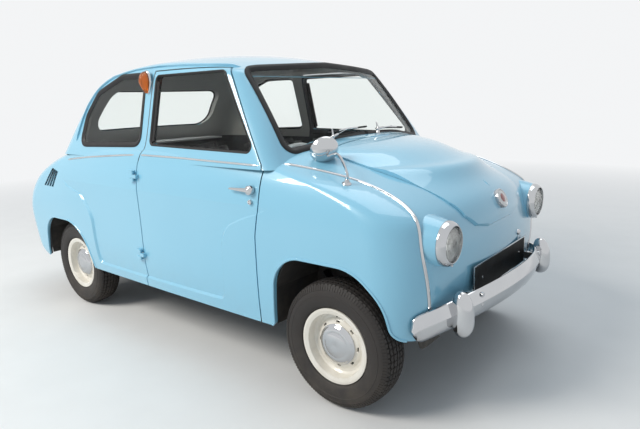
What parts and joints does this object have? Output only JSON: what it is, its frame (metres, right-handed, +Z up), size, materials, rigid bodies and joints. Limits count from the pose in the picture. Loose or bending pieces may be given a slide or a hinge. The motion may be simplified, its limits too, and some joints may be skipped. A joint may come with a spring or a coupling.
{
  "type": "rear-engined two-door microcar",
  "caption": "Small rounded two-door saloon with rear-hinged doors, raised bonnet, louvred rear quarters and dished cream wheels that roll and steer.",
  "frame": {"origin": "on the ground, midway along the length and the width", "axes": "+X forward, +Y to the car's left, +Z up"},
  "size_m": [2.8999, 1.28, 1.3218],
  "materials": {
    "body_paint": "gloss sky-blue paint",
    "underbody_black": "satin black paint",
    "dash_paint": "gloss sky-blue paint",
    "clear_glass": "clear",
    "chrome": "polished",
    "amber": "clear amber plastic",
    "red_lens": "clear red plastic",
    "plate_black": "gloss black",
    "seat_cloth": "dark brown leathercloth",
    "wheel_plastic": "pale grey",
    "engine_alloy": "cast",
    "exhaust_steel": "dull",
    "wheel_cream": "gloss cream paint",
    "tyre_rubber": "matt"
  },
  "bodies": {
    "body": {"roof": "body_paint", "front_body": "body_paint", "rear_body": "body_paint", "floor_pan": "underbody_black", "dashboard": "dash_paint", "windscreen": "clear_glass", "rear_window": "clear_glass", "quarter_windows": "clear_glass", "headlamps": "chrome", "headlamp_lenses": "clear_glass", "indicator_lamps": "amber", "tail_lamps": "red_lens", "front_bumper": "chrome", "rear_bumper": "chrome", "number_plates": "plate_black", "mirror": "chrome", "wipers": "chrome", "front_seat_cushions": "seat_cloth", "front_seat_backs": "seat_cloth", "seat_frames": "underbody_black", "rear_seat_cushion": "seat_cloth", "rear_seat_back": "seat_cloth", "gear_lever": "underbody_black", "steering_column": "underbody_black", "front_axle": "underbody_black", "rear_axle": "underbody_black", "engine": "engine_alloy", "exhaust": "exhaust_steel"},
    "door_right": {"door_panel_right": "body_paint", "door_glass_right": "clear_glass", "door_handle_right": "chrome"},
    "door_left": {"door_panel_left": "body_paint", "door_glass_left": "clear_glass", "door_handle_left": "chrome"},
    "engine_lid": {"engine_lid": "body_paint"},
    "bonnet": {"bonnet": "body_paint", "nose_badge": "chrome"},
    "steering_wheel": {"steering_wheel": "wheel_plastic"},
    "steering_rack": {"steering_rack": "underbody_black"},
    "knuckle_right": {"knuckle_right": "underbody_black"},
    "knuckle_left": {"knuckle_left": "underbody_black"},
    "wheel_front_right": {"rim_front_right": "wheel_cream", "tyre_front_right": "tyre_rubber", "hub_cap_front_right": "chrome"},
    "wheel_front_left": {"rim_front_left": "wheel_cream", "tyre_front_left": "tyre_rubber", "hub_cap_front_left": "chrome"},
    "wheel_rear_right": {"rim_rear_right": "wheel_cream", "tyre_rear_right": "tyre_rubber", "hub_cap_rear_right": "chrome"},
    "wheel_rear_left": {"rim_rear_left": "wheel_cream", "tyre_rear_left": "tyre_rubber", "hub_cap_rear_left": "chrome"}
  },
  "joints": [
    {"name": "door_right_hinge", "type": "hinge", "parent": "body", "child": "door_right", "pos_m": [-0.136, -0.6345, 0.59], "axis": [0, 0, -1], "range_deg": [0, 70]},
    {"name": "door_left_hinge", "type": "hinge", "parent": "body", "child": "door_left", "pos_m": [-0.136, 0.6345, 0.59], "axis": [0, 0, 1], "range_deg": [0, 70]},
    {"name": "engine_lid_hinge", "type": "hinge", "parent": "body", "child": "engine_lid", "pos_m": [-1.186, 0, 0.808], "axis": [0, 1, 0], "range_deg": [0, 60]},
    {"name": "bonnet_hinge", "type": "hinge", "parent": "body", "child": "bonnet", "pos_m": [0.798, 0, 0.936], "axis": [0, -1, 0], "range_deg": [0, 60]},
    {"name": "steering_wheel_turn", "type": "hinge", "parent": "body", "child": "steering_wheel", "pos_m": [0.43, -0.27, 0.77], "axis": [-0.7302, 0, 0.6833], "range_deg": [-450, 450]},
    {"name": "steering_rack_slide", "type": "slide", "parent": "body", "child": "steering_rack", "axis": [0, 1, 0], "range_m": [-0.045, 0.045]},
    {"name": "steer_left", "type": "hinge", "parent": "body", "child": "knuckle_left", "pos_m": [0.98, 0.48, 0.237], "axis": [0, 0, 1], "range_deg": [-30, 30]},
    {"name": "steer_right", "type": "hinge", "parent": "body", "child": "knuckle_right", "pos_m": [0.98, -0.48, 0.237], "axis": [0, 0, 1], "range_deg": [-30, 30]},
    {"name": "wheel_front_right_spin", "type": "hinge", "parent": "knuckle_right", "child": "wheel_front_right", "pos_m": [0.98, -0.545, 0.237], "axis": [0, 1, 0], "continuous": true},
    {"name": "wheel_rear_right_spin", "type": "hinge", "parent": "body", "child": "wheel_rear_right", "pos_m": [-0.82, -0.545, 0.237], "axis": [0, 1, 0], "continuous": true},
    {"name": "wheel_front_left_spin", "type": "hinge", "parent": "knuckle_left", "child": "wheel_front_left", "pos_m": [0.98, 0.545, 0.237], "axis": [0, 1, 0], "continuous": true},
    {"name": "wheel_rear_left_spin", "type": "hinge", "parent": "body", "child": "wheel_rear_left", "pos_m": [-0.82, 0.545, 0.237], "axis": [0, 1, 0], "continuous": true}
  ],
  "couplings": [
    {"joint": "steer_right", "follows": "steer_left", "ratio": 1},
    {"joint": "steering_rack_slide", "follows": "steer_left", "m_per_rad": 0.083},
    {"joint": "steering_wheel_turn", "follows": "steer_left", "ratio": 14}
  ]
}
